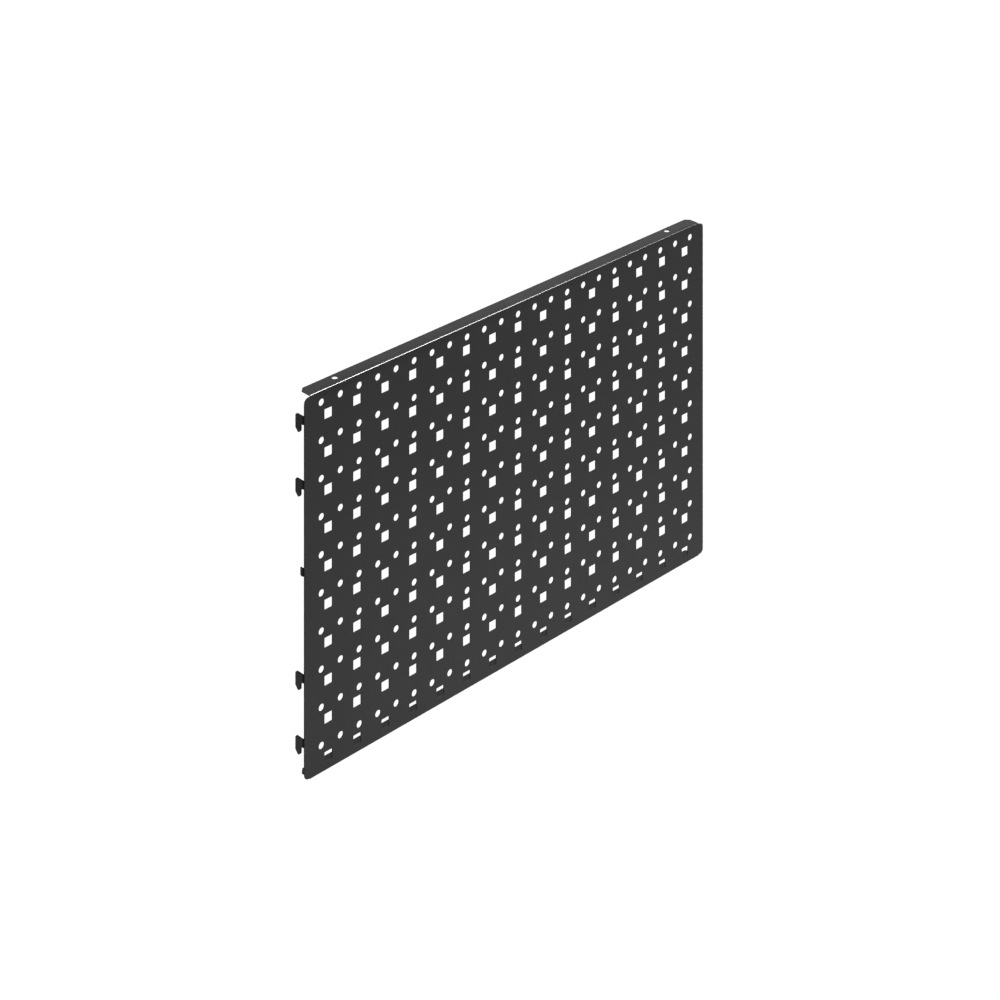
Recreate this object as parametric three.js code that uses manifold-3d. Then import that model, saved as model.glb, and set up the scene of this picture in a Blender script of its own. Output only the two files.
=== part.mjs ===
// Pegboard tool wall: a perforated sheet-steel panel with folded flanges, which hangs on two
// slotted wall rails by a strip of hooks welded behind each side edge.
// Millimetres. +X runs along the wall, +Y points into the wall and +Z is up.
// The origin is at mid-width and mid-height, in the plane where the hook strips lie on the rails.
import * as THREE from "three";
import { mergeVertices } from "three/addons/utils/BufferGeometryUtils.js";
import Module from "manifold-3d";

// Driving dimensions of the folded sheet.
const PANEL_WIDTH = 594;
const PANEL_HEIGHT = 381; // over both flanges
const SHEET = 1;
const BEND_OUTER_RADIUS = 1.2;
const CORNER_RADIUS = 5; // the four corners of the face
const CORNER_STEP = 1; // how far the corners of the face stop short of the flanges' outer faces
const FLANGE_DEPTH = 18; // from the front of the face to the flange's free edge
const FLANGE_SETBACK = 7.2; // from the face's side edge to the end of a flange
const FLANGE_CHAMFER = 4.8; // 45 degree cut at each end of a flange
const FLANGE_HOLE = 6.5;
const FLANGE_HOLE_FROM_EDGE = 49; // from the face's side edge
const FLANGE_HOLE_BEHIND_FRONT = 11.5;

// Driving dimensions of the perforation: rows of round and of square holes take turns.
const ROUND_HOLE = 7;
const ROUND_PITCH = 25;
const SQUARE_HOLE = 10;
const SQUARE_PITCH = 38;
const ROW_PITCH = 38;
const FIRST_ROW_DROP = 11.8; // from the panel's top to the first row of round holes
const SQUARE_ROW_DROP = 13.5; // from a row of round holes to the row of square ones below it
const HOLE_TO_STRIP_GAP = 1.5; // least steel between a hole and the hook strip behind it
const HOLE_TO_BEND_GAP = 5; // least flat steel between a hole and the bottom bend

// Driving dimensions of the hook strips, and of the wall rail that their hooks fit.
const STRIP = 1.5; // thickness
const STRIP_LEG = 14; // width of the leg behind the face
const STRIP_INSET = 1; // the leg's outer edge, inside the face's side edge
const STRIP_END_GAP = 6; // between the strip's ends and the flanges, clear of the rounded corners
const TAB_OVERHANG = 1; // the hooks' outer face, beyond the face's side edge
const TAB_INNER_RADIUS = 0.3;
const RAIL_SLOT_PITCH = 32;
const RAIL_SLOT_HEIGHT = 20;
const RAIL_WALL_GAP = 2.4; // room for the rail's wall between the strip and a hook's nose
const FIRST_SEAT_DROP = 27.2; // from the panel's top to the edge on which the first hook rests
const LEAST_SEAT_TO_BOTTOM = 30; // from the last hook's seat to the panel's bottom
const SLOTS_BETWEEN_PAIRED_HOOKS = 2;
const NECK_HEIGHT = 8.6;
const HOOK_REACH = 10.8; // from the rail's face to the back of a hook
const HOOK_BACK_RADIUS = 3; // upper corner of a hook's back
const NOSE_FRONT_DROP = 6.4; // from the seat to the end of the nose's upright front
const NOSE_BACK_DROP = 5.6; // from the seat to the end of its upright back; 45 degree slants meet below
const NOSE_TIP_RADIUS = 2.2;
const NOSE_SIDE_RADIUS = 1;
const SEAT_RADIUS = 0.5; // where the seat meets the nose
const STOP_REACH = 3.1; // the lift stop in the middle slot
const STOP_HEIGHT = 8.3;
const STOP_CLEARANCE = 2; // between the lift stop and the top of its slot
const STOP_LOWER_RADIUS = 1.5;
const STOP_UPPER_RADIUS = 0.4;

const ARC_SEGMENTS = 4; // in a quarter turn of a bend or a corner
const ROUND_HOLE_SIDES = 6;
const FLANGE_HOLE_SIDES = 16;
const CUTTER_OVERRUN = 1;

// Planes and places that follow from the sizes above.
const stripFront = -STRIP;
const frontY = stripFront - SHEET;
const flangeEdgeY = frontY + FLANGE_DEPTH;
const halfWidth = PANEL_WIDTH / 2;
const halfHeight = PANEL_HEIGHT / 2;
const flangeEndX = halfWidth - FLANGE_SETBACK;

const wasm = await Module();
wasm.setup();

// A closed outline whose corners [u, v, radius] are rounded by arcs of their own radius.
function roundedShape(corners) {
  const shape = new THREE.Shape();
  corners.forEach(([u, v, radius], index) => {
    const corner = new THREE.Vector2(u, v);
    if (!radius) {
      if (index === 0) shape.moveTo(u, v);
      else shape.lineTo(u, v);
      return;
    }
    const neighbour = (step) => corners[(index + step + corners.length) % corners.length];
    const before = new THREE.Vector2(...neighbour(-1).slice(0, 2)).sub(corner).normalize();
    const after = new THREE.Vector2(...neighbour(1).slice(0, 2)).sub(corner).normalize();
    const halfAngle = Math.acos(before.dot(after)) / 2;
    const start = corner.clone().addScaledVector(before, radius / Math.tan(halfAngle));
    const bisector = before.clone().add(after).normalize();
    const centre = corner.clone().addScaledVector(bisector, radius / Math.sin(halfAngle));
    const turn = Math.PI - 2 * halfAngle;
    const side = Math.sign(before.cross(after));
    const from = start.clone().sub(centre);
    for (let i = 0; i <= ARC_SEGMENTS; i += 1) {
      const angle = (-side * turn * i) / ARC_SEGMENTS;
      const point = from.clone().rotateAround(new THREE.Vector2(), angle).add(centre);
      if (index === 0 && i === 0) shape.moveTo(point.x, point.y);
      else shape.lineTo(point.x, point.y);
    }
  });
  shape.closePath();
  return shape;
}

function rectangle(u0, v0, u1, v1, radius = 0) {
  return roundedShape([
    [u0, v0, radius],
    [u1, v0, radius],
    [u1, v1, radius],
    [u0, v1, radius],
  ]);
}

// A regular polygon of the same area as a circle.
function roundHole(u, v, diameter, sides) {
  const sector = (2 * Math.PI) / sides;
  const radius = (diameter / 2) * Math.sqrt(sector / Math.sin(sector));
  const shape = new THREE.Shape();
  for (let i = 0; i < sides; i += 1) {
    const angle = (i + 0.5) * sector;
    const point = [u + radius * Math.cos(angle), v + radius * Math.sin(angle)];
    if (i === 0) shape.moveTo(...point);
    else shape.lineTo(...point);
  }
  shape.closePath();
  return shape;
}

// The outline extruded along one axis, as a solid. U and V are the axes of the outline.
function prism(shape, from, to, axisU, axisV, axis) {
  const geometry = new THREE.ExtrudeGeometry(shape, { depth: to - from, bevelEnabled: false });
  geometry.translate(0, 0, from);
  geometry.applyMatrix4(new THREE.Matrix4().makeBasis(axisU, axisV, axis));
  geometry.deleteAttribute("normal");
  geometry.deleteAttribute("uv");
  const merged = mergeVertices(geometry, 1e-4);
  return new wasm.Manifold(
    new wasm.Mesh({
      numProp: 3,
      vertProperties: merged.attributes.position.array,
      triVerts: new Uint32Array(merged.index.array),
    }),
  );
}

const X = new THREE.Vector3(1, 0, 0);
const Y = new THREE.Vector3(0, 1, 0);
const Z = new THREE.Vector3(0, 0, 1);
const alongX = (shape, x0, x1) => prism(shape, x0, x1, Y, Z, X);
const alongY = (shape, y0, y1) => prism(shape, -y1, -y0, X, Z, Y.clone().negate());
const alongZ = (shape, z0, z1) => prism(shape, z0, z1, X, Y, Z);

function meshOf(solid, name, material) {
  const { vertProperties, triVerts } = solid.getMesh();
  const geometry = new THREE.BufferGeometry();
  geometry.setAttribute("position", new THREE.BufferAttribute(vertProperties, 3));
  geometry.setIndex(new THREE.BufferAttribute(triVerts, 1));
  geometry.computeVertexNormals();
  const mesh = new THREE.Mesh(geometry, material);
  mesh.name = name;
  return mesh;
}

// Places of a centred row of holes that keeps a least margin at both ends.
function centredRow(length, pitch, margin) {
  const count = Math.floor((length - 2 * margin) / pitch) + 1;
  return Array.from({ length: count }, (_, i) => (i - (count - 1) / 2) * pitch);
}

// The sheet before it is punched: the face, and the C section with both flanges.
function foldedSheet() {
  const cornerZ = halfHeight - CORNER_STEP;
  const face = rectangle(-halfWidth, -cornerZ, halfWidth, cornerZ, CORNER_RADIUS);
  const backY = frontY + SHEET;
  const openY = flangeEdgeY + CUTTER_OVERRUN;
  const innerRadius = BEND_OUTER_RADIUS - SHEET;
  const section = roundedShape([
    [openY, -halfHeight, 0],
    [openY, SHEET - halfHeight, 0],
    [backY, SHEET - halfHeight, innerRadius],
    [backY, halfHeight - SHEET, innerRadius],
    [openY, halfHeight - SHEET, 0],
    [openY, halfHeight, 0],
    [frontY, halfHeight, BEND_OUTER_RADIUS],
    [frontY, -halfHeight, BEND_OUTER_RADIUS],
  ]);
  const plan = roundedShape([
    [-flangeEndX, frontY - CUTTER_OVERRUN, 0],
    [flangeEndX, frontY - CUTTER_OVERRUN, 0],
    [flangeEndX, flangeEdgeY - FLANGE_CHAMFER, 0],
    [flangeEndX - FLANGE_CHAMFER, flangeEdgeY, 0],
    [FLANGE_CHAMFER - flangeEndX, flangeEdgeY, 0],
    [-flangeEndX, flangeEdgeY - FLANGE_CHAMFER, 0],
  ]);
  const longer = halfWidth;
  const taller = halfHeight + CUTTER_OVERRUN;
  const channel = alongX(section, -longer, longer).intersect(alongZ(plan, -taller, taller));
  return channel.add(alongY(face, frontY, backY));
}

function perforation() {
  const stripInner = STRIP_INSET + STRIP_LEG + HOLE_TO_STRIP_GAP;
  const roundColumns = centredRow(PANEL_WIDTH, ROUND_PITCH, stripInner + ROUND_HOLE / 2);
  const squareColumns = centredRow(PANEL_WIDTH, SQUARE_PITCH, stripInner + SQUARE_HOLE / 2);
  const lastRowMargin = BEND_OUTER_RADIUS + HOLE_TO_BEND_GAP + SQUARE_HOLE / 2;
  const rowSpan = PANEL_HEIGHT - FIRST_ROW_DROP - SQUARE_ROW_DROP - lastRowMargin;
  const rows = Math.floor(rowSpan / ROW_PITCH) + 1;
  const front = frontY - CUTTER_OVERRUN;
  const back = frontY + SHEET + CUTTER_OVERRUN;
  const cutters = [];
  for (let row = 0; row < rows; row += 1) {
    const roundZ = halfHeight - FIRST_ROW_DROP - row * ROW_PITCH;
    const squareZ = roundZ - SQUARE_ROW_DROP;
    const half = SQUARE_HOLE / 2;
    for (const x of roundColumns) {
      cutters.push(alongY(roundHole(x, roundZ, ROUND_HOLE, ROUND_HOLE_SIDES), front, back));
    }
    for (const x of squareColumns) {
      const square = rectangle(x - half, squareZ - half, x + half, squareZ + half);
      cutters.push(alongY(square, front, back));
    }
  }
  return cutters.reduce((all, cutter) => all.add(cutter));
}

// The two holes through the top flange.
function flangeHoles() {
  const x = halfWidth - FLANGE_HOLE_FROM_EDGE;
  const y = frontY + FLANGE_HOLE_BEHIND_FRONT;
  const low = halfHeight - SHEET - CUTTER_OVERRUN;
  const high = halfHeight + CUTTER_OVERRUN;
  const hole = (side) => alongZ(roundHole(side * x, y, FLANGE_HOLE, FLANGE_HOLE_SIDES), low, high);
  return hole(-1).add(hole(1));
}

function facePanel() {
  return foldedSheet().subtract(perforation()).subtract(flangeHoles());
}

// Outline of a hook in the Y-Z plane, with the seat that rests on the slot's lower edge at v = 0.
function hookOutline() {
  const root = stripFront - CUTTER_OVERRUN;
  const tipY = (HOOK_REACH + RAIL_WALL_GAP + NOSE_BACK_DROP - NOSE_FRONT_DROP) / 2;
  const tipZ = RAIL_WALL_GAP - NOSE_FRONT_DROP - tipY;
  return [
    [root, 0, 0],
    [RAIL_WALL_GAP, 0, SEAT_RADIUS],
    [RAIL_WALL_GAP, -NOSE_FRONT_DROP, NOSE_SIDE_RADIUS],
    [tipY, tipZ, NOSE_TIP_RADIUS],
    [HOOK_REACH, -NOSE_BACK_DROP, NOSE_SIDE_RADIUS],
    [HOOK_REACH, NECK_HEIGHT, HOOK_BACK_RADIUS],
    [root, NECK_HEIGHT, 0],
  ];
}

// The lift stop, whose top stays just under the upper edge of its slot.
function stopOutline() {
  const root = stripFront - CUTTER_OVERRUN;
  const top = RAIL_SLOT_HEIGHT - STOP_CLEARANCE;
  return [
    [root, top - STOP_HEIGHT, 0],
    [STOP_REACH, top - STOP_HEIGHT, STOP_LOWER_RADIUS],
    [STOP_REACH, top, STOP_UPPER_RADIUS],
    [root, top, 0],
  ];
}

// A strip for one side, -1 for left and 1 for right: a flat leg whose ears turn back as hooks.
function hookStrip(side) {
  const legOuter = halfWidth - STRIP_INSET;
  const legInner = legOuter - STRIP_LEG;
  const plateOuter = halfWidth + TAB_OVERHANG;
  const plateInner = plateOuter - STRIP;
  const legHalf = halfHeight - SHEET - STRIP_END_GAP;
  const leg = rectangle(side * legInner, stripFront, side * legOuter, 0);
  const backY = HOOK_REACH + CUTTER_OVERRUN;
  const earRoot = (legInner + legOuter) / 2;
  const ear = roundedShape([
    [side * earRoot, stripFront, 0],
    [side * plateOuter, stripFront, STRIP + TAB_INNER_RADIUS],
    [side * plateOuter, backY, 0],
    [side * plateInner, backY, 0],
    [side * plateInner, 0, TAB_INNER_RADIUS],
    [side * earRoot, 0, 0],
  ]);
  const [x0, x1] = [side * legInner, side * (plateOuter + CUTTER_OVERRUN)].sort((a, b) => a - b);
  const tab = (outline, seatZ) => {
    const placed = roundedShape(outline.map(([y, z, radius]) => [y, z + seatZ, radius]));
    const levels = outline.map(([, z]) => z + seatZ);
    const low = Math.min(...levels) - CUTTER_OVERRUN;
    const high = Math.max(...levels) + CUTTER_OVERRUN;
    return alongZ(ear, low, high).intersect(alongX(placed, x0, x1));
  };
  const seatSpan = PANEL_HEIGHT - FIRST_SEAT_DROP - LEAST_SEAT_TO_BOTTOM;
  const lastSlot = Math.floor(seatSpan / RAIL_SLOT_PITCH);
  const pair = SLOTS_BETWEEN_PAIRED_HOOKS;
  const seatOf = (slot) => halfHeight - FIRST_SEAT_DROP - slot * RAIL_SLOT_PITCH;
  const tabs = [0, pair, lastSlot - pair, lastSlot].map((slot) => tab(hookOutline(), seatOf(slot)));
  tabs.push(tab(stopOutline(), seatOf(Math.floor(lastSlot / 2))));
  return tabs.reduce((strip, one) => strip.add(one), alongZ(leg, -legHalf, legHalf));
}

const powderCoat = { color: 0x2e2f31, roughness: 0.55, metalness: 0 };
const panelCoat = new THREE.MeshStandardMaterial(powderCoat);
const hookCoat = new THREE.MeshStandardMaterial(powderCoat);

const pegboardToolWall = new THREE.Group();
pegboardToolWall.add(meshOf(facePanel(), "face_panel", panelCoat));
pegboardToolWall.add(meshOf(hookStrip(-1), "left_hook_strip", hookCoat));
pegboardToolWall.add(meshOf(hookStrip(1), "right_hook_strip", hookCoat));

export default pegboardToolWall;
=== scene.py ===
"""Pegboard tool wall: black powder-coated sheet steel, punched, folded and hung by two hook strips.

Outlines are in millimetres, and every placed point is in metres in the frame's own axes:
+X along the wall, +Y into the wall, +Z up, with the face looking along -Y.
"""
import math

import bpy
from mathutils import Matrix, Vector
from mathutils.geometry import delaunay_2d_cdt


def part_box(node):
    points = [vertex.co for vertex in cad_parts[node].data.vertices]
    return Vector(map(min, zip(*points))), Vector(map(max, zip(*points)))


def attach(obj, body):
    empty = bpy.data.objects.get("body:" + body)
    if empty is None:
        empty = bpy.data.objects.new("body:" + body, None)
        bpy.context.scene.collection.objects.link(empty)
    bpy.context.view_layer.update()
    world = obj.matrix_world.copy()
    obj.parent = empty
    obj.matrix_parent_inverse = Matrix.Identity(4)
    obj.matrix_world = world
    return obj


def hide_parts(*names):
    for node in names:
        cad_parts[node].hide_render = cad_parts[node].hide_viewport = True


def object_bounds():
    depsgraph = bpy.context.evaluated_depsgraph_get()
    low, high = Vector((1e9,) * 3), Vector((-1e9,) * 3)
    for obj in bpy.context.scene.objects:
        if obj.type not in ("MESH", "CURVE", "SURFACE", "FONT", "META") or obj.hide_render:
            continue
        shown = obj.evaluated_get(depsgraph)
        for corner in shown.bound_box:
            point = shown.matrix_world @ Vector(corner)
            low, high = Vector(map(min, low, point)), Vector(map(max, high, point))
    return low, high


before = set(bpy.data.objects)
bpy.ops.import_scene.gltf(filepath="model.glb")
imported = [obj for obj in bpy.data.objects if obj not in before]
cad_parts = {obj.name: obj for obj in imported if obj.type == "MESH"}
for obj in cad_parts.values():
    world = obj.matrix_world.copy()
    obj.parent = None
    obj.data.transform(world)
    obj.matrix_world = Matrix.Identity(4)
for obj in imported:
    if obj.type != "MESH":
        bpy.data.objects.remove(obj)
cad_low, cad_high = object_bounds()

MM = 0.001
AXIS_X = Vector((1, 0, 0))
AXIS_Y = Vector((0, 1, 0))
AXIS_Z = Vector((0, 0, 1))


def box_mm(node):
    """The lowest and highest corners of a CAD node, in millimetres."""
    low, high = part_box(node)
    return Vector(low) / MM, Vector(high) / MM


# The folded sheet, as the CAD part has it.
SHEET = 1.0
BEND_RADIUS = 1.2
CORNER_RADIUS = 5.0
CORNER_RELIEF = 0.15  # the face's corners stop this far under the start of the bend
RELIEF_RADIUS = 0.1
FLANGE_SETBACK = 7.2
FLANGE_CHAMFER = 4.8
FLANGE_CORNER_RADIUS = 0.6
FLANGE_HOLE = 6.5
FLANGE_HOLE_FROM_EDGE = 49.0
FLANGE_HOLE_BEHIND_FRONT = 11.5

# The punched holes.
ROUND_HOLE = 7.0
ROUND_PITCH = 25.0
ROUND_COLUMNS = 23
SQUARE_HOLE = 10.0
SQUARE_CORNER_RADIUS = 0.5
SQUARE_PITCH = 38.0
SQUARE_COLUMNS = 15
ROWS = 10
ROW_PITCH = 38.0
FIRST_ROW_DROP = 11.8
SQUARE_ROW_DROP = 13.5

# The hook strips.
STRIP = 1.5
STRIP_LEG = 14.0
STRIP_INSET = 1.0
TAB_INNER_RADIUS = 0.3
LEG_CORNER_RADIUS = 1.0
EAR_ROOT_RADIUS = 0.15
RAIL_SLOT_PITCH = 32.0
RAIL_SLOT_HEIGHT = 20.0
RAIL_WALL_GAP = 2.4
FIRST_SEAT_DROP = 27.2
HOOK_SLOTS = (0, 2, 8, 10)
STOP_SLOT = 5
NECK_HEIGHT = 8.6
HOOK_BACK_RADIUS = 3.0
NOSE_FRONT_DROP = 6.4
NOSE_BACK_DROP = 5.6
NOSE_TIP_RADIUS = 2.2
NOSE_SIDE_RADIUS = 1.0
SEAT_RADIUS = 0.5
STOP_REACH = 3.1
STOP_HEIGHT = 8.3
STOP_CLEARANCE = 2.0
STOP_LOWER_RADIUS = 1.5
STOP_UPPER_RADIUS = 0.4

# How finely the sheets are drawn.
EDGE_RADIUS = 0.15  # coated edge of every cut
EDGE_STEPS = 3
BEND_STEPS = 10
ARC_STEP = math.radians(11.25)
ROUND_HOLE_POINTS = 32

face_low, face_high = box_mm("face_panel")
strip_low, strip_high = box_mm("right_hook_strip")
flange_edge = face_high.y
front = face_low.y


# ---------------------------------------------------------------- outlines

def rounded_loop(corners, material_inside=True):
    """Samples (point, normal) round a closed outline of corners (u, v, radius).

    The corners are given anticlockwise. The normal points away from the material.
    """
    points = [Vector(c[:2]) for c in corners]
    count = len(points)
    side = 1 if material_inside else -1
    samples = []
    for i, (point, corner) in enumerate(zip(points, corners)):
        radius = corner[2]
        arriving = (point - points[i - 1]).normalized()
        leaving = (points[(i + 1) % count] - point).normalized()
        turn = math.atan2(arriving.cross(leaving), arriving.dot(leaving))
        sign = 1 if turn > 0 else -1
        left = Vector((-arriving.y, arriving.x))
        start = point - arriving * radius * math.tan(abs(turn) / 2)
        centre = start + left * radius * sign
        steps = max(1, math.ceil(abs(turn) / ARC_STEP))
        for k in range(steps + 1):
            angle = turn * k / steps
            normal = Matrix.Rotation(angle, 2) @ -left
            samples.append((centre + normal * radius * sign, normal * side))
    return samples


def round_loop(centre, diameter, points):
    """Samples round a circular hole."""
    centre = Vector(centre)
    samples = []
    for k in range(points):
        angle = 2 * math.pi * (k + 0.5) / points
        spoke = Vector((math.cos(angle), math.sin(angle)))
        samples.append((centre + spoke * diameter / 2, -spoke))
    return samples


def square_loop(centre, side, radius):
    """Samples round a square hole with slightly rounded corners."""
    u, v = centre
    half = side / 2
    corners = [
        (u - half, v - half, radius),
        (u + half, v - half, radius),
        (u + half, v + half, radius),
        (u - half, v + half, radius),
    ]
    return rounded_loop(corners, material_inside=False)


def with_fold_points(samples, fold_lines):
    """Adds a sample wherever a straight edge crosses a fold line, a level of v."""
    result = []
    for i, (point, normal) in enumerate(samples):
        result.append((point, normal))
        after, after_normal = samples[(i + 1) % len(samples)]
        if (after_normal - normal).length > 1e-4:
            continue
        crossed = [v for v in fold_lines if (point.y - v) * (after.y - v) < 0]
        for v in sorted(crossed, reverse=after.y < point.y):
            share = (v - point.y) / (after.y - point.y)
            result.append((Vector((point.x + (after.x - point.x) * share, v)), normal))
    return result


# ---------------------------------------------------------------- folded sheets

class Fold:
    """The outer surface of a sheet that runs straight, then turns 90 degrees, and so on.

    v is the length along that surface from its start. The sheet lies on the inward side.
    """

    def __init__(self, start, along, inward, runs, radius):
        self.radius = radius
        self.across = inward.cross(along)
        self.pieces = []
        v = 0.0
        quarter = radius * math.pi / 2
        for i, run in enumerate(runs):
            self.pieces.append(("flat", v, v + run, start, along, inward))
            start = start + along * run
            v += run
            if i == len(runs) - 1:
                break
            self.pieces.append(("bend", v, v + quarter, start, along, inward))
            start = start + (along + inward) * radius
            v += quarter
            along, inward = inward, -along

    def fold_lines(self):
        """Every level of v at which a bend starts, steps on or ends."""
        levels = []
        for kind, v0, v1, *_ in self.pieces:
            if kind == "bend":
                levels += [v0 + (v1 - v0) * k / BEND_STEPS for k in range(BEND_STEPS + 1)]
        return levels

    def at(self, v):
        """The surface point, the direction along it and the inward direction at v."""
        kind, v0, _, start, along, inward = next(
            (p for p in self.pieces if v <= p[2] + 1e-9), self.pieces[-1]
        )
        if kind == "flat":
            return start + along * (v - v0), along, inward
        angle = (v - v0) / self.radius
        turned = along * math.cos(angle) + inward * math.sin(angle)
        inside = inward * math.cos(angle) - along * math.sin(angle)
        return start + inward * self.radius - inside * self.radius, turned, inside


def folded_sheet(name, fold, outline, holes, thickness):
    """A punched and folded sheet with rounded cut edges, as one closed mesh."""
    fold_lines = fold.fold_lines()
    loops = [with_fold_points(outline, fold_lines), *holes]
    flat_points = []
    rings = []
    for loop in loops:
        first = len(flat_points)
        rings.append(range(first, first + len(loop)))
        flat_points += [point - normal * EDGE_RADIUS for point, normal in loop]

    fold_edges = []
    for level in fold_lines:
        on_line = [i for i in rings[0] if abs(flat_points[i].y - level) < 1e-6]
        on_line.sort(key=lambda i: flat_points[i].x)
        fold_edges += list(zip(on_line[::2], on_line[1::2]))
    cut = delaunay_2d_cdt(flat_points, fold_edges, [list(r) for r in rings], 0, 1e-6)
    _, _, triangles, source, _, inside = cut
    kept = [t for t, loops_round in zip(triangles, inside) if loops_round == [0]]
    kept = [[source[i][0] for i in triangle] for triangle in kept]

    # Each step is (set back from the cut edge, depth below the outer surface, lean of the normal).
    profile = []
    for k in range(EDGE_STEPS + 1):
        lean = math.pi / 2 * k / EDGE_STEPS
        set_back = EDGE_RADIUS * (1 - math.sin(lean))
        profile.append((set_back, EDGE_RADIUS * (1 - math.cos(lean)), lean))
    profile += [(b, thickness - depth, math.pi - lean) for b, depth, lean in reversed(profile)]

    vertices, normals, rims, faces = [], [], [], []
    for back, depth, lean in profile:
        for loop in loops:
            for point, normal in loop:
                flat = point - normal * back
                surface, along, inward = fold.at(flat.y)
                vertices.append((surface + inward * depth + fold.across * flat.x) * MM)
                sideways = fold.across * normal.x + along * normal.y
                normals.append(sideways * math.sin(lean) - inward * math.cos(lean))
                rims.append(math.sin(lean))
    layer = len(flat_points)
    faces += [tuple(t) for t in kept]
    last = layer * (len(profile) - 1)
    faces += [tuple(last + i for i in reversed(t)) for t in kept]
    for k in range(len(profile) - 1):
        for n, ring in enumerate(rings):
            for i in range(len(ring)):
                a, b = ring[i], ring[(i + 1) % len(ring)]
                quad = (a + k * layer, a + (k + 1) * layer, b + (k + 1) * layer, b + k * layer)
                faces.append(quad if n == 0 else quad[::-1])

    mesh = bpy.data.meshes.new(name)
    mesh.from_pydata(vertices, [], faces)
    # How far round a cut edge each point lies; the coat makes these edges rougher, less reflective
    # and darker with painted shade.
    rim = mesh.attributes.new("rim", "FLOAT", "POINT")
    rim.data.foreach_set("value", rims)
    mesh.polygons.foreach_set("use_smooth", [True] * len(mesh.polygons))
    mesh.validate()
    mesh.normals_split_custom_set_from_vertices(normals)
    made = bpy.data.objects.new(name, mesh)
    bpy.context.scene.collection.objects.link(made)
    return made


def face_panel():
    """The face with its holes and both flanges, folded from one blank."""
    half_width = face_high.x
    depth = flange_edge - front
    run = depth - BEND_RADIUS
    height = face_high.z - face_low.z
    flat_height = height - 2 * BEND_RADIUS
    start = Vector((0, flange_edge, face_low.z))
    fold = Fold(start, -AXIS_Y, AXIS_Z, (run, flat_height, run), BEND_RADIUS)
    quarter = BEND_RADIUS * math.pi / 2
    face_start = run + quarter
    face_end = face_start + flat_height
    blank_end = face_end + quarter + run

    flange_x = half_width - FLANGE_SETBACK
    low, high = face_start + CORNER_RELIEF, face_end - CORNER_RELIEF
    right_side = [
        (flange_x - FLANGE_CHAMFER, 0, FLANGE_CORNER_RADIUS),
        (flange_x, FLANGE_CHAMFER, FLANGE_CORNER_RADIUS),
        (flange_x, low, RELIEF_RADIUS),
        (half_width, low, CORNER_RADIUS),
        (half_width, high, CORNER_RADIUS),
        (flange_x, high, RELIEF_RADIUS),
        (flange_x, blank_end - FLANGE_CHAMFER, FLANGE_CORNER_RADIUS),
        (flange_x - FLANGE_CHAMFER, blank_end, FLANGE_CORNER_RADIUS),
    ]
    left_side = [(-u, v, radius) for u, v, radius in reversed(right_side)]
    outline = rounded_loop(right_side + left_side)

    level = face_end + BEND_RADIUS  # blank height of the panel's top, if the face ran on flat
    holes = []
    for row in range(ROWS):
        round_v = level - FIRST_ROW_DROP - row * ROW_PITCH
        square_v = round_v - SQUARE_ROW_DROP
        for column in range(ROUND_COLUMNS):
            u = (column - (ROUND_COLUMNS - 1) / 2) * ROUND_PITCH
            holes.append(round_loop((u, round_v), ROUND_HOLE, ROUND_HOLE_POINTS))
        for column in range(SQUARE_COLUMNS):
            u = (column - (SQUARE_COLUMNS - 1) / 2) * SQUARE_PITCH
            holes.append(square_loop((u, square_v), SQUARE_HOLE, SQUARE_CORNER_RADIUS))
    flange_v = blank_end - (depth - FLANGE_HOLE_BEHIND_FRONT)
    for side in (-1, 1):
        u = side * (half_width - FLANGE_HOLE_FROM_EDGE)
        holes.append(round_loop((u, flange_v), FLANGE_HOLE, ROUND_HOLE_POINTS))
    return folded_sheet("panel_sheet", fold, outline, holes, SHEET)


def hook_ear(level, v_of):
    """Corners of one hook, from its lower root to its upper root.

    level is the height of its seat, and v_of turns a depth Y into a length along the fold.
    """
    reach = strip_high.y
    tip = (reach + RAIL_WALL_GAP + NOSE_BACK_DROP - NOSE_FRONT_DROP) / 2
    tip_drop = NOSE_FRONT_DROP + tip - RAIL_WALL_GAP
    return [
        (v_of(RAIL_WALL_GAP), level, SEAT_RADIUS),
        (v_of(RAIL_WALL_GAP), level - NOSE_FRONT_DROP, NOSE_SIDE_RADIUS),
        (v_of(tip), level - tip_drop, NOSE_TIP_RADIUS),
        (v_of(reach), level - NOSE_BACK_DROP, NOSE_SIDE_RADIUS),
        (v_of(reach), level + NECK_HEIGHT, HOOK_BACK_RADIUS),
    ]


def stop_ear(level, v_of):
    """Corners of the lift stop, which fills the upper end of its slot."""
    top = level + RAIL_SLOT_HEIGHT - STOP_CLEARANCE
    return [
        (v_of(STOP_REACH), top - STOP_HEIGHT, STOP_LOWER_RADIUS),
        (v_of(STOP_REACH), top, STOP_UPPER_RADIUS),
    ]


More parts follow.
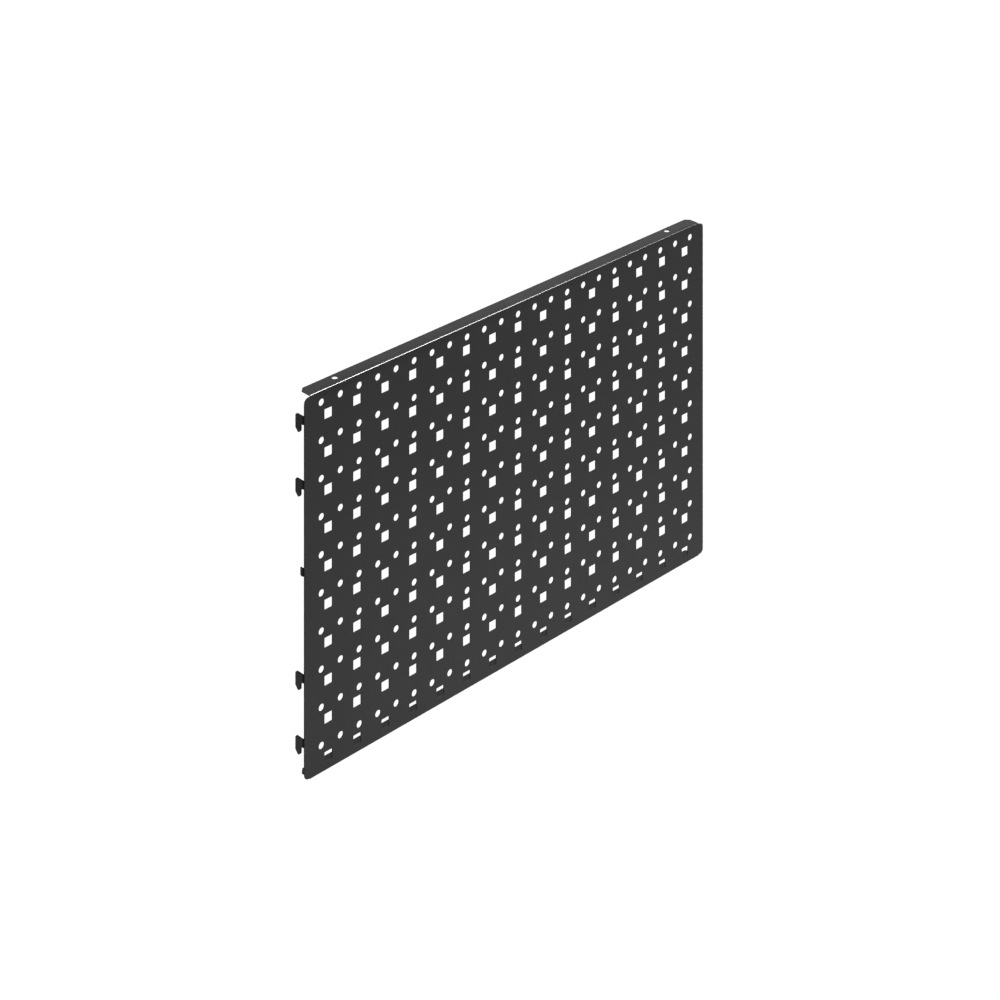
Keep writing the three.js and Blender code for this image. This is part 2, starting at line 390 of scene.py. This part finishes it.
def hook_strip(side):
    """The strip behind one side edge, 1 for right and -1 for left."""
    outer_radius = STRIP + TAB_INNER_RADIUS
    leg_outer = face_high.x - STRIP_INSET
    leg_inner = leg_outer - STRIP_LEG
    flat = strip_high.x - outer_radius - leg_inner
    ear_run = strip_high.y - strip_low.y - outer_radius
    start = Vector((side * leg_inner, strip_low.y, 0))
    fold = Fold(start, AXIS_X * side, AXIS_Y, (flat, ear_run), outer_radius)
    bend_end = flat + outer_radius * math.pi / 2
    bend_end_y = strip_low.y + outer_radius

    def v_of(y):
        return bend_end + y - bend_end_y

    seats = [face_high.z - FIRST_SEAT_DROP - slot * RAIL_SLOT_PITCH for slot in HOOK_SLOTS]
    stop_level = face_high.z - FIRST_SEAT_DROP - STOP_SLOT * RAIL_SLOT_PITCH
    ears = [(level, hook_ear(level, v_of)) for level in seats]
    ears.append((stop_level, stop_ear(stop_level, v_of)))
    corners = [(0, strip_low.z, LEG_CORNER_RADIUS), (STRIP_LEG, strip_low.z, LEG_CORNER_RADIUS)]
    for _, ear in sorted(ears, key=lambda item: item[0]):
        corners.append((STRIP_LEG, ear[0][1], EAR_ROOT_RADIUS))
        corners += ear
        corners.append((STRIP_LEG, ear[-1][1], EAR_ROOT_RADIUS))
    corners += [(STRIP_LEG, strip_high.z, LEG_CORNER_RADIUS), (0, strip_high.z, LEG_CORNER_RADIUS)]
    # Turned so that the first coordinate runs along the fold, as the sheet builder needs.
    sense = fold.across.z
    turned = [(z * sense, v, radius) for v, z, radius in corners]
    outline = rounded_loop(turned[::-1] if sense > 0 else turned)
    names = {1: "right_hook_sheet", -1: "left_hook_sheet"}
    return folded_sheet(names[side], fold, outline, [], STRIP)


# ---------------------------------------------------------------- materials

COAT_COLOURS = ((0.0018, 0.0018, 0.0019), (0.0032, 0.0032, 0.0033))  # darker and lighter clouds
COAT_ROUGHNESS = (0.24, 0.29)
COAT_REFLECTION = 0.5
# Painted shade: the cut edges and hole walls are coloured darker than the coat.
RIM_SHADE_COLOUR = (0.0015, 0.0015, 0.0015)
RIM_ROUGHNESS = 0.55
RIM_REFLECTION = 0.25
CLOUD_SCALE = 18.0  # noise cells to the metre, like the next two
GLOSS_SCALE = 45.0
PEEL_SCALE = 900.0
PEEL_STRENGTH = 0.2
PEEL_DEPTH = 0.00004  # metres
NOISE_RANGE = (0.3, 0.7)  # the part of a noise's range that is spread out
PANEL_INDEX = 1.3  # refractive indices, fitted to the looks
# Painted shade: the hook strips' lower index makes their coat mirror less, so they look darker than
# the panel.
HOOK_SHADE_INDEX = 1.16
FLOOR_HALF = 30.0
FLOOR_DROP = 2.0  # from the panel's bottom
FLOOR_COLOUR = (0.9, 0.9, 0.9, 1.0)


def powder_coat(name, index):
    """Black satin powder coat: a fine orange peel, a faint cloudiness, and cut edges that are
    rougher, mirror less and carry painted shade in a darker colour.

    The refractive index sets how much of the studio it mirrors.
    """
    material = bpy.data.materials.new(name)
    material.use_nodes = True
    nodes, links = material.node_tree.nodes, material.node_tree.links
    shader = nodes["Principled BSDF"]
    shader.inputs["Metallic"].default_value = 0.0
    shader.inputs["IOR"].default_value = index
    place = nodes.new("ShaderNodeTexCoord")

    def noise(scale, detail):
        node = nodes.new("ShaderNodeTexNoise")
        node.inputs["Scale"].default_value = scale
        node.inputs["Detail"].default_value = detail
        links.new(place.outputs["Object"], node.inputs["Vector"])
        return node.outputs["Fac"]

    def spread(value, low, high):
        node = nodes.new("ShaderNodeMapRange")
        node.inputs["From Min"].default_value, node.inputs["From Max"].default_value = NOISE_RANGE
        node.inputs["To Min"].default_value = low
        node.inputs["To Max"].default_value = high
        links.new(value, node.inputs["Value"])
        return node.outputs["Result"]

    def mix(factor, a, b, kind="RGBA"):
        node = nodes.new("ShaderNodeMix")
        node.data_type = kind
        names = {"RGBA": ("Factor_Float", "A_Color", "B_Color", "Result_Color")}
        names["FLOAT"] = ("Factor_Float", "A_Float", "B_Float", "Result_Float")
        sockets = {socket.identifier: socket for socket in [*node.inputs, *node.outputs]}
        factor_socket, a_socket, b_socket, result = (sockets[n] for n in names[kind])
        links.new(factor, factor_socket)
        for socket, value in ((a_socket, a), (b_socket, b)):
            if isinstance(value, bpy.types.NodeSocket):
                links.new(value, socket)
            else:
                socket.default_value = (*value, 1.0) if kind == "RGBA" else value
        return result

    rim = nodes.new("ShaderNodeAttribute")
    rim.attribute_name = "rim"
    on_rim = rim.outputs["Fac"]
    cloud = mix(spread(noise(CLOUD_SCALE, 4.0), 0.0, 1.0), *COAT_COLOURS)
    # Painted shade: the base colour turns to the darker rim colour on the cut edges.
    links.new(mix(on_rim, cloud, RIM_SHADE_COLOUR), shader.inputs["Base Color"])
    gloss = spread(noise(GLOSS_SCALE, 5.0), *COAT_ROUGHNESS)
    links.new(mix(on_rim, gloss, RIM_ROUGHNESS, "FLOAT"), shader.inputs["Roughness"])
    reflection = mix(on_rim, COAT_REFLECTION, RIM_REFLECTION, "FLOAT")
    links.new(reflection, shader.inputs["Specular IOR Level"])

    peel = nodes.new("ShaderNodeBump")
    peel.inputs["Strength"].default_value = PEEL_STRENGTH
    peel.inputs["Distance"].default_value = PEEL_DEPTH
    links.new(noise(PEEL_SCALE, 2.0), peel.inputs["Height"])
    links.new(peel.outputs["Normal"], shader.inputs["Normal"])
    return material


def pale_floor():
    """A plain floor well under the panel."""
    half = FLOOR_HALF
    level = cad_low.z - FLOOR_DROP
    mesh = bpy.data.meshes.new("studio_floor")
    signs = ((-1, -1), (1, -1), (1, 1), (-1, 1))
    corners = [(x * half, y * half, level) for x, y in signs]
    mesh.from_pydata(corners, [], [(0, 1, 2, 3)])
    floor = bpy.data.objects.new("studio_floor", mesh)
    bpy.context.scene.collection.objects.link(floor)
    material = bpy.data.materials.new("studio_floor")
    material.use_nodes = True
    shader = material.node_tree.nodes["Principled BSDF"]
    shader.inputs["Base Color"].default_value = FLOOR_COLOUR
    shader.inputs["Roughness"].default_value = 1.0
    shader.inputs["Specular IOR Level"].default_value = 0.0
    mesh.materials.append(material)


# ---------------------------------------------------------------- camera and light

CAMERA = Vector((-1.9732, -2.0094, 1.4707))  # eye point
HEADING = math.radians(44.1145)  # of the line of sight, from +Y towards +X
FALL = 0.52964  # drop of the central ray for each metre of level distance
SENSOR = 36.0
LENS = 107.25


def set_camera():
    """The view has upright verticals, as from a view camera with its back kept vertical.

    A large lens shift would give that picture but throw every other view off centre, so the
    camera's own axes carry it: its up axis stays vertical while its sight line falls.
    """
    right = Vector((math.cos(HEADING), -math.sin(HEADING), 0))
    sight = Vector((math.sin(HEADING), math.cos(HEADING), -FALL)).normalized()
    axes = Matrix((right, AXIS_Z, -sight)).transposed().to_4x4()
    axes.translation = CAMERA
    data = bpy.data.cameras.new("photo_camera")
    data.sensor_width = SENSOR
    data.lens = LENS
    data.clip_start = 0.05
    data.clip_end = 200.0
    camera = bpy.data.objects.new("photo_camera", data)
    holder = bpy.data.objects.new("camera_holder", None)
    for made in (holder, camera):
        bpy.context.scene.collection.objects.link(made)
    camera.parent = holder
    camera.matrix_parent_inverse = axes
    bpy.context.scene.camera = camera


def softbox(name, place, aim, size, power, spread=180.0):
    """A rectangular lamp. Its grid lets light out over the angle of spread, in degrees."""
    data = bpy.data.lights.new(name, "AREA")
    data.shape = "RECTANGLE"
    data.size, data.size_y = size
    data.energy = power
    data.spread = math.radians(spread)
    light = bpy.data.objects.new(name, data)
    light.location = place
    light.rotation_mode = "QUATERNION"
    light.rotation_quaternion = (Vector(aim) - Vector(place)).to_track_quat("-Z", "Y")
    light.visible_camera = False
    bpy.context.scene.collection.objects.link(light)


# Brightness of the dome at heights from the horizon, 0, to overhead, 1.
DOME = ((0.0, 1.0), (0.16, 0.97), (0.3, 0.58), (0.55, 0.58), (1.0, 2.0))


def set_light():
    """A dome that is bright overhead and at the horizon, a gridded key and a low fill in front."""
    world = bpy.data.worlds.new("studio")
    bpy.context.scene.world = world
    world.use_nodes = True
    nodes, links = world.node_tree.nodes, world.node_tree.links
    direction = nodes.new("ShaderNodeTexCoord")
    split = nodes.new("ShaderNodeSeparateXYZ")
    grade = nodes.new("ShaderNodeValToRGB")
    brightest = max(value for _, value in DOME)
    steps = grade.color_ramp.elements
    while len(steps) < len(DOME):
        steps.new(1.0)
    for step, (height, value) in zip(steps, DOME):
        step.position = height
        step.color = (*[value / brightest] * 3, 1.0)
    nodes["Background"].inputs["Strength"].default_value = brightest
    links.new(direction.outputs["Generated"], split.inputs["Vector"])
    links.new(split.outputs["Z"], grade.inputs["Fac"])
    links.new(grade.outputs["Color"], nodes["Background"].inputs["Color"])
    softbox("key", (1.36, -0.4, 2.38), (0, 0, 0.19), (1.6, 0.6), 66.0, 60.0)
    softbox("low_fill", (1.9, -1.95, -1.9), (0, 0, 0), (1.5, 0.8), 2.0)
    view = bpy.context.scene.view_settings
    view.view_transform = "Standard"
    view.look = "None"
    view.exposure = 0.0
    view.gamma = 1.0


# ---------------------------------------------------------------- assembly

set_camera()
set_light()
pale_floor()
panel_coat = powder_coat("panel_coat", PANEL_INDEX)
# Painted shade: the hooks get a copy of the panel's coat that mirrors less, so they look darker.
hook_shaded_coat = powder_coat("hook_shaded_coat", HOOK_SHADE_INDEX)
pieces = [
    ("face_panel", face_panel(), panel_coat),
    ("left_hook_strip", hook_strip(-1), hook_shaded_coat),
    ("right_hook_strip", hook_strip(1), hook_shaded_coat),
]
for node, piece, coat in pieces:
    piece.data.materials.append(coat)
    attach(piece, "root")
    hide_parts(node)
